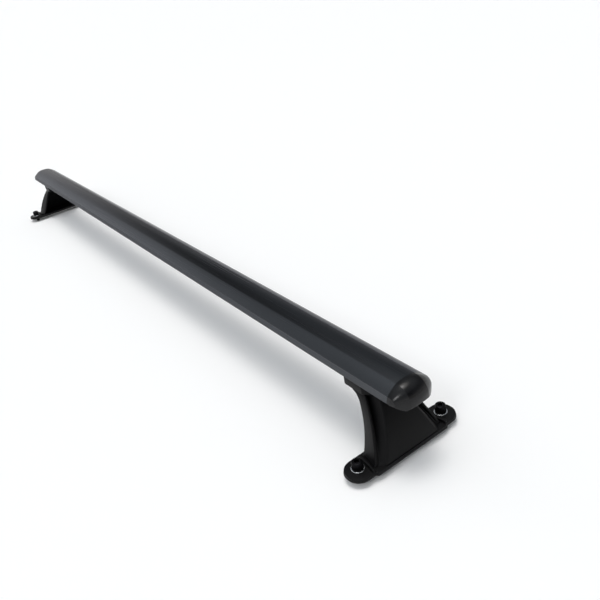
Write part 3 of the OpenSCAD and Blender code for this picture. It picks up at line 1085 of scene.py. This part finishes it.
def spring_washer(
    outer: float,
    inner: float,
    thick: float,
    gap: float = 1.2,
    slant: float = 0.12,
    edge: float = 0.3,
    rows: int = 91,
) -> Shell:
    """A split spring washer, standing on height 0.

    Its section is a rounded rectangle that goes round the bore, and the two cut faces lean: their angle grows
    with the height in the section.

    Args:
        outer: Outer radius.
        inner: Bore radius.
        thick: Thickness.
        gap: Width of the split at the middle of the section.
        slant: Lean of the split's faces, in radians over the thickness.
        edge: Radius of the wire's corners.
        rows: Number of sections round the bore.

    Returns:
        The closed washer.
    """
    section = rectangle(inner, outer, thick / 2, edge)
    radius, height = section[:, 0], section[:, 1] + thick / 2
    half_gap = gap / (outer + inner) + slant / 2
    sweep = np.linspace(half_gap, 2.0 * np.pi - half_gap, rows)[:, None]
    angle = sweep + slant * (height / thick - 0.5)
    level = np.broadcast_to(height, angle.shape)
    return pillar(np.stack([radius * np.cos(angle), radius * np.sin(angle), level], axis=-1))


@dataclass(frozen=True)
class RoofBolts:
    """The screw, the spring washer and the flat washer on each lobe of a foot."""

    layout: Layout
    screw: SocketScrew
    washer_r: float = 8.0
    spring_r: float = 7.0
    bore_r: float = 4.25

    def build(self, side: Side, end: End, black: bpy.types.Material, bright: bpy.types.Material) -> None:
        """Stacks the hardware of one roof screw.

        Args:
            side: The end of the bar.
            end: The lobe of that end's foot.
            black: Finish of the screw and the spring washer.
            bright: Finish of the flat washer.
        """
        layout = self.layout
        flat = flat_washer(self.washer_r, self.bore_r, layout.washer_t)
        spring = spring_washer(self.spring_r, self.bore_r, layout.spring_t)
        stack = (
            ("flat_washer", [flat], layout.plate_top, bright),
            ("spring_washer", [spring], layout.plate_top + layout.washer_t, black),
            ("roof_screw", self.screw.shells(), layout.head_seat, black),
        )
        y = end.value * layout.bolt_spacing / 2
        for kind, shells, seat, material in stack:
            make_end_piece(kind, [side, end], shells, material, (layout.bolt_line, y, seat))


@dataclass(frozen=True)
class BarClamp:
    """The two screws with washers under a saddle, and the nut in the bar's slot that they pull down."""

    layout: Layout
    section: WingSection
    screw: SocketScrew
    washer_r: float = 6.0
    bore_r: float = 3.25
    washer_t: float = 1.6
    nut_t: float = 4.0
    nut_gap: float = 0.3
    nut_end: float = 9.0
    nut_corner: float = 0.8
    nut_edge: float = 0.4
    thread_gap: float = 0.05

    def build(self, side: Side, material: bpy.types.Material) -> None:
        """Makes the clamp of one end.

        Args:
            side: The end of the bar.
            material: Finish of the screws, the washers and the nut.
        """
        layout = self.layout
        seat = layout.saddle_under - self.washer_t
        outer, inner = layout.clamps()
        for place, x in ((Place.OUTER, outer), (Place.INNER, inner)):
            washer = flat_washer(self.washer_r, self.bore_r, self.washer_t)
            screw = [shell.mirrored(z=-1) for shell in self.screw.shells()]
            for kind, shells in (("clamp_washer", [washer]), ("clamp_screw", screw)):
                make_end_piece(kind, [side, place], shells, material, (x, 0.0, seat))
        half = self.section.slot_w / 2 - self.nut_gap
        plan = rectangle(inner - self.nut_end, outer + self.nut_end, half, self.nut_corner)
        low = layout.bar_under + self.section.lip_t
        holes = [(x, 0.0, self.screw.radius + self.thread_gap) for x in (outer, inner)]
        nut = slab(plan, low, low + self.nut_t, self.nut_edge, holes)
        make_end_piece("slot_nut", [side], [nut], material)


# Colours and nodes


def linear(colour: str) -> tuple[float, float, float, float]:
    """Turns an sRGB hex colour into linear RGBA.

    Args:
        colour: The colour as "#rrggbb".

    Returns:
        The linear red, green and blue, and an alpha of 1.
    """
    parts = np.array([int(colour[i : i + 2], 16) for i in (1, 3, 5)]) / 255.0
    flat = np.where(parts <= 0.04045, parts / 12.92, ((parts + 0.055) / 1.055) ** 2.4)
    return (float(flat[0]), float(flat[1]), float(flat[2]), 1.0)


def add_node(
    tree: bpy.types.NodeTree,
    kind: str,
    settings: Mapping[Any, Any] | None = None,
    links: Mapping[Any, bpy.types.NodeSocket] | None = None,
) -> bpy.types.Node:
    """Adds one node with its settings and its incoming links.

    Args:
        tree: The node tree that gets the node.
        kind: Blender's identifier of the node's type.
        settings: Attributes of the node, or default values of its inputs by name or number.
        links: The output socket that feeds each input, by the input's name or number.

    Returns:
        The new node.
    """
    made = tree.nodes.new(kind)
    for key, value in (settings or {}).items():
        if isinstance(key, str) and hasattr(made, key):
            setattr(made, key, value)
        else:
            made.inputs[key].default_value = value
    for key, socket in (links or {}).items():
        tree.links.new(socket, made.inputs[key])
    return made


def new_material(name: str) -> tuple[bpy.types.Material, bpy.types.NodeTree]:
    """Makes an empty node material.

    Args:
        name: The finish that it is named for.

    Returns:
        The material and its node tree.
    """
    material = bpy.data.materials.new(name)
    material.use_nodes = True
    material.node_tree.nodes.clear()
    return material, material.node_tree


def join_finish(
    tree: bpy.types.NodeTree,
    colours: tuple[str, str],
    cloud: bpy.types.NodeSocket,
    grain: bpy.types.NodeSocket,
    rough: tuple[float, float],
    relief: tuple[float, float],
    settings: Mapping[str, Any],
) -> None:
    """Joins the patterns of a finish to its shader.

    The cloud blends the two colours. The grain moves the roughness between its limits and raises the surface.

    Args:
        tree: The material's nodes.
        colours: The two sRGB colours.
        cloud: Output of the pattern of the colours.
        grain: Output of the pattern of the surface.
        rough: Roughness where the grain is low and where it is high.
        relief: Strength of the bump, and its depth in millimetres.
        settings: The shader's own inputs.
    """
    blend = add_node(
        tree, "ShaderNodeMix", {"data_type": "RGBA", 6: linear(colours[0]), 7: linear(colours[1])}, {0: cloud}
    )
    level = add_node(tree, "ShaderNodeMapRange", {"To Min": rough[0], "To Max": rough[1]}, {"Value": grain})
    bump = add_node(tree, "ShaderNodeBump", {"Strength": relief[0], "Distance": relief[1] * MM}, {"Height": grain})
    shader = add_node(
        tree,
        "ShaderNodeBsdfPrincipled",
        settings,
        {"Base Color": blend.outputs[2], "Roughness": level.outputs[0], "Normal": bump.outputs[0]},
    )
    add_node(tree, "ShaderNodeOutputMaterial", None, {"Surface": shader.outputs[0]})


# Finishes: each starts from what the real surface is


@dataclass(frozen=True)
class BlackAnodise:
    """Black anodised aluminium, extruded: bare metal that shines darkly through a dyed oxide, with draw lines.

    The dark metal gives a weak shine from above and a bright one at grazing angles, of which the dye takes a part
    by the edge colour. The draw lines break it up lengthwise.
    """

    name: str = "black anodised aluminium, extruded"
    colour: str = "#4b4d50"
    worn: str = "#535558"
    edge: str = "#c4c4c6"
    rough: tuple[float, float] = (0.2, 0.31)
    line_mm: float = 0.9  # real draw lines are near 0.1 mm, too fine to show, so they are drawn coarser
    line_stretch: float = 400.0  # length of a line over its width
    patch_mm: float = 110.0
    relief: tuple[float, float] = (0.12, 0.03)

    def material(self) -> bpy.types.Material:
        """Builds the finish, with lines that run along X.

        Returns:
            The material for the extrusion.
        """
        material, tree = new_material(self.name)
        place = add_node(tree, "ShaderNodeTexCoord").outputs["Object"]
        per_m = 1.0 / (self.line_mm * MM)
        across = add_node(
            tree, "ShaderNodeMapping", {"Scale": (per_m / self.line_stretch, per_m, per_m)}, {"Vector": place}
        )
        lines = add_node(
            tree, "ShaderNodeTexNoise", {"Scale": 1.0, "Detail": 3.0, "Roughness": 0.6}, {"Vector": across.outputs[0]}
        )
        patches = add_node(
            tree, "ShaderNodeTexNoise", {"Scale": 1.0 / (self.patch_mm * MM), "Detail": 4.0}, {"Vector": place}
        )
        dyed = {"Metallic": 1.0, "Specular Tint": linear(self.edge)}
        cloud, grain = patches.outputs["Fac"], lines.outputs["Fac"]
        join_finish(tree, (self.colour, self.worn), cloud, grain, self.rough, self.relief, dyed)
        return material


@dataclass(frozen=True)
class GrainedCoat:
    """Powder coat, moulded plastic or rubber: an even dark colour in faint clouds under a fine grain.

    The grain scatters the shine, so a rough coat stays flat and dark where a smooth one shows the light.
    """

    name: str
    colour: str
    cloud: str
    rough: tuple[float, float]
    grain_mm: float
    bump_mm: float
    gloss: float = 0.5
    ior: float = 1.5
    cloud_mm: float = 40.0
    bump: float = 0.4

    def material(self) -> bpy.types.Material:
        """Builds the finish, with an even grain of its own size.

        Returns:
            The material for the piece that is coated or moulded.
        """
        material, tree = new_material(self.name)
        place = add_node(tree, "ShaderNodeTexCoord").outputs["Object"]
        grain = add_node(
            tree,
            "ShaderNodeTexNoise",
            {"Scale": 1.0 / (self.grain_mm * MM), "Detail": 3.0, "Roughness": 0.55},
            {"Vector": place},
        ).outputs["Fac"]
        cloud = add_node(
            tree, "ShaderNodeTexNoise", {"Scale": 1.0 / (self.cloud_mm * MM), "Detail": 5.0}, {"Vector": place}
        ).outputs["Fac"]
        shine = {"Metallic": 0.0, "IOR": self.ior, "Specular IOR Level": self.gloss}
        relief = (self.bump, self.bump_mm)
        join_finish(tree, (self.colour, self.cloud), cloud, grain, self.rough, relief, shine)
        return material


@dataclass(frozen=True)
class TreatedSteel:
    """Zinc plated or black oxide steel: a metal whose colour and gloss are mottled by the bath it hung in."""

    name: str
    colour: str
    mottled: str
    rough: tuple[float, float]
    mottle_mm: float = 0.8
    relief: tuple[float, float] = (0.3, 0.02)

    def material(self) -> bpy.types.Material:
        """Builds the metal with its mottle.

        Returns:
            The material for the hardware.
        """
        material, tree = new_material(self.name)
        place = add_node(tree, "ShaderNodeTexCoord").outputs["Object"]
        mottle = add_node(
            tree, "ShaderNodeTexNoise", {"Scale": 1.0 / (self.mottle_mm * MM), "Detail": 4.0}, {"Vector": place}
        ).outputs["Fac"]
        join_finish(tree, (self.colour, self.mottled), mottle, mottle, self.rough, self.relief, {"Metallic": 1.0})
        return material


# Studio: floor, light and camera


@dataclass(frozen=True)
class SoftSun:
    """A distant soft lamp: the direction that it stands in, its strength and its width in degrees."""

    name: str
    towards: tuple[float, float, float]
    strength: float
    width_deg: float

    def hang(self) -> None:
        """Adds the lamp to the scene."""
        lamp = bpy.data.lights.new(self.name, "SUN")
        lamp.energy = self.strength
        lamp.angle = np.radians(self.width_deg)
        holder = bpy.data.objects.new(self.name, lamp)
        holder.matrix_world = Vector(self.towards).to_track_quat("Z", "Y").to_matrix().to_4x4()
        bpy.context.scene.collection.objects.link(holder)


@dataclass(frozen=True)
class Glow:
    """Light from a part of the room, by the cosine between its direction and the one looked in.

    It begins at one cosine and has its full colour at another.
    """

    towards: tuple[float, float, float]
    begins: float
    full: float
    colour: tuple[float, float, float]


@dataclass(frozen=True)
class Studio:
    """The white floor, the light tent round it and the camera at the photo's viewing angle."""

    # Camera: its place in metres, its axes, and its focal length for a picture of a given width
    eye: tuple[float, float, float] = (1.08574, -0.35764, 0.51578)
    right: tuple[float, float, float] = (0.580082, 0.798263, -0.162114)
    down: tuple[float, float, float] = (0.313107, -0.402247, -0.860326)
    ahead: tuple[float, float, float] = (-0.751977, 0.448301, -0.483278)
    focal_px: float = 641.884
    frame_px: float = 600.0
    sensor_mm: float = 36.0
    sight: float = 500.0
    # Floor, in metres: its height is that of the screw tips, and it reaches the horizon
    floor_z: float = -0.0077
    floor_half: float = 150.0
    paper: tuple[float, float, float, float] = (0.97, 0.97, 0.97, 1.0)
    # Room and lamps
    dim: tuple[float, float, float] = (0.055, 0.06, 0.065)
    glows: tuple[Glow, ...] = (
        Glow((0.0, 0.0, 1.0), 0.42, 0.2, (0.52, 0.5, 0.47)),  # pale wall all round, up to 25 degrees
        Glow((0.0, -1.0, 0.0), -0.05, 0.3, (0.38, 0.4, 0.42)),  # side of the front, where the window is
        Glow((0.0, 1.0, 0.0), 0.2, 0.45, (0.16, 0.17, 0.18)),  # side of the rear
        Glow((-0.99, -0.1, 0.1), 0.88, 0.97, (0.95, 0.95, 0.95)),  # bright wall past the left end
        Glow((0.0, 0.0, 1.0), 0.6, 0.85, (0.38, 0.4, 0.42)),  # ceiling
        Glow(OVERHEAD, 0.92, 0.97, (2.85, 2.75, 2.62)),  # wide lamp over the bar
    )
    suns: tuple[SoftSun, ...] = (
        SoftSun("key over the bar", OVERHEAD, 0.43, 16.0),
        SoftSun("lamp beside the camera", (0.3, -0.69, 0.65), 0.42, 14.0),
    )

    def camera(self) -> None:
        """Sets the camera by its place and axes, which were fitted to the photo."""
        data = bpy.data.cameras.new("photo camera")
        data.sensor_width = self.sensor_mm
        data.lens = self.focal_px / self.frame_px * self.sensor_mm
        data.clip_end = self.sight
        holder = bpy.data.objects.new("photo camera", data)
        bpy.context.scene.collection.objects.link(holder)
        turn = Matrix((self.right, [-v for v in self.down], [-v for v in self.ahead])).transposed().to_4x4()
        holder.matrix_world = Matrix.Translation(self.eye) @ turn
        bpy.context.scene.camera = holder

    def floor(self) -> None:
        """Lays a wide white floor under the screw tips."""
        half, z = self.floor_half, self.floor_z
        mesh = bpy.data.meshes.new("floor")
        mesh.from_pydata([(-half, -half, z), (half, -half, z), (half, half, z), (-half, half, z)], [], [(0, 1, 2, 3)])
        material, tree = new_material("white paper")
        shader = add_node(tree, "ShaderNodeBsdfPrincipled", {"Base Color": self.paper, "Roughness": 0.9})
        add_node(tree, "ShaderNodeOutputMaterial", None, {"Surface": shader.outputs[0]})
        mesh.materials.append(material)
        piece = bpy.data.objects.new("floor", mesh)
        bpy.context.scene.collection.objects.link(piece)

    def tent(self) -> None:
        """Lights the room by direction: a dim ground level, and each glow's colour times its smooth share."""
        world = bpy.data.worlds.new("studio")
        bpy.context.scene.world = world
        world.use_nodes = True
        tree = world.node_tree
        tree.nodes.clear()
        looked = add_node(tree, "ShaderNodeTexCoord").outputs["Generated"]
        total = add_node(tree, "ShaderNodeCombineXYZ", dict(enumerate(self.dim)))
        for glow in self.glows:
            along = add_node(tree, "ShaderNodeVectorMath", {"operation": "DOT_PRODUCT", 1: glow.towards}, {0: looked})
            share = add_node(
                tree,
                "ShaderNodeMapRange",
                {"interpolation_type": "SMOOTHSTEP", "From Min": glow.begins, "From Max": glow.full},
                {"Value": along.outputs["Value"]},
            )
            light = add_node(
                tree, "ShaderNodeVectorMath", {"operation": "SCALE", 0: glow.colour}, {"Scale": share.outputs[0]}
            )
            total = add_node(
                tree, "ShaderNodeVectorMath", {"operation": "ADD"}, {0: total.outputs[0], 1: light.outputs[0]}
            )
        background = add_node(tree, "ShaderNodeBackground", {"Strength": 1.0}, {"Color": total.outputs[0]})
        add_node(tree, "ShaderNodeOutputWorld", None, {"Surface": background.outputs[0]})

    def build(self) -> None:
        """Sets up the whole studio."""
        bpy.context.scene.view_settings.view_transform = "Standard"
        self.camera()
        self.floor()
        self.tent()
        for sun in self.suns:
            sun.hang()


def main() -> None:
    """Builds every sub-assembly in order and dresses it."""
    logging.basicConfig(level=logging.INFO, format="%(name)s: %(message)s")
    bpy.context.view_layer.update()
    Studio().build()
    anodise = BlackAnodise().material()
    # Powder coat is nearly black, with a dull shine that spreads along the arrises of the casting
    coat = GrainedCoat(
        "black powder coat on a casting",
        colour="#040405",
        cloud="#070709",
        rough=(0.4, 0.52),
        grain_mm=0.9,
        bump_mm=0.03,
        gloss=0.14,
    ).material()
    # The moulded cap is smoother, so it holds a soft picture of the lamps
    plastic = GrainedCoat(
        "black moulded plastic, satin",
        colour="#09090b",
        cloud="#0d0d0f",
        rough=(0.16, 0.28),
        grain_mm=0.5,
        bump_mm=0.005,
        gloss=0.3,
    ).material()
    # Rubber is greyer than both and nearly matt
    rubber = GrainedCoat(
        "black rubber, moulded", colour="#161616", cloud="#1c1c1c", rough=(0.74, 0.86), grain_mm=0.7, bump_mm=0.03
    ).material()
    # Black oxide leaves the metal's glint on knurls and edges, and zinc plating is bright and faintly blue
    black = TreatedSteel("black oxide steel", "#1e1e20", "#141416", (0.31, 0.44)).material()
    bright = TreatedSteel("bright zinc plated steel", "#d9dbdd", "#c6c9cc", (0.19, 0.32)).material()

    layout, section = Layout(), WingSection()
    foot = FootCasting(layout, section)
    roof_screw = SocketScrew(
        radius=4.0, length=16.0, head_r=6.5, head_h=8.0, pitch=1.25, neck_r=3.6, grip=layout.head_seat
    )
    clamp_grip = layout.saddle_t + BarClamp.washer_t
    clamp_screw = SocketScrew(
        radius=3.0, length=16.0, head_r=5.0, head_h=6.0, pitch=1.0, neck_r=2.7, grip=clamp_grip, teeth=36
    )
    Crossbar(layout, section).build(anodise)
    for side in Side:
        EndCap(layout, section).build(side, plastic)
        foot.build(side, coat)
        Rubber(layout, section, foot).build(side, rubber)
        BarClamp(layout, section, clamp_screw).build(side, bright)
        for end in End:
            RoofBolts(layout, roof_screw).build(side, end, black, bright)


if __name__ == "__main__":
    main()
